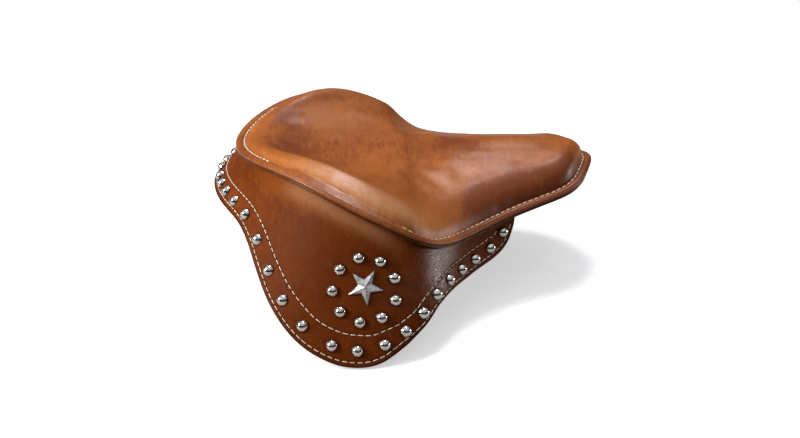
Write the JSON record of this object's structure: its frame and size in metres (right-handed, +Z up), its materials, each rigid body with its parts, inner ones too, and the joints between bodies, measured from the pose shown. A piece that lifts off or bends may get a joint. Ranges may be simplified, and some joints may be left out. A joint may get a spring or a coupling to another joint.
{
  "type": "motorcycle seat",
  "caption": "Western-style solo motorcycle saddle with a padded leather top, hanging studded leather skirt, steel pan, hinged nose bracket and a bar for two rear springs.",
  "frame": {"origin": "centre of the nose foot's lower face, on the plane of symmetry", "axes": "+Z up out of the foot's lower face, nose towards -Y, rider's right towards -X"},
  "size_m": [0.4554, 0.4055, 0.1583],
  "materials": {
    "cover_leather": "oiled tan saddle leather, satin",
    "binding_leather": "tan leather with burnished edge",
    "skirt_leather": "oiled tan skirting leather, satin, lightly mottled",
    "lining_leather": "rough side out",
    "foam": "open-cell foam",
    "pan_steel": "black paint",
    "nickel": "polished nickel plate",
    "pewter": "antique pewter, worn bright on the ridges",
    "zinc": "bright zinc plate",
    "black_steel": "black powder coat",
    "bronze": "oiled sintered bronze",
    "thread": "waxed cream thread"
  },
  "bodies": {
    "seat": {"seat_cover": "cover_leather", "rim_binding": "binding_leather", "foam_pad": "foam", "seat_pan": "pan_steel", "skirt_panel": "skirt_leather", "skirt_lining": "lining_leather", "border_spots_right": "nickel", "border_spots_left": "nickel", "ring_spots_right": "nickel", "ring_spots_left": "nickel", "star_concho_right": "pewter", "star_concho_left": "pewter", "concho_nut_right": "zinc", "concho_nut_left": "zinc", "skirt_rivet_strip_right": "zinc", "skirt_rivet_strip_left": "zinc", "nose_plate": "pan_steel", "nose_clevis": "black_steel", "pivot_pin": "zinc", "pivot_ring": "zinc", "clevis_bolt_front": "zinc", "clevis_bolt_rear": "zinc", "clevis_nut_front": "zinc", "clevis_nut_rear": "zinc", "rear_crossbar": "black_steel", "spring_stud_right": "zinc", "spring_stud_left": "zinc", "stud_washer_right": "zinc", "stud_washer_left": "zinc", "stud_nut_right": "zinc", "stud_nut_left": "zinc"},
    "nose_bracket_foot": {"nose_foot": "black_steel", "pivot_bush": "bronze"}
  },
  "joints": [
    {"name": "nose_pivot", "type": "hinge", "parent": "seat", "child": "nose_bracket_foot", "pos_m": [0, 0, 0.015], "axis": [1, 0, 0], "range_deg": [-20, 30]}
  ]
}
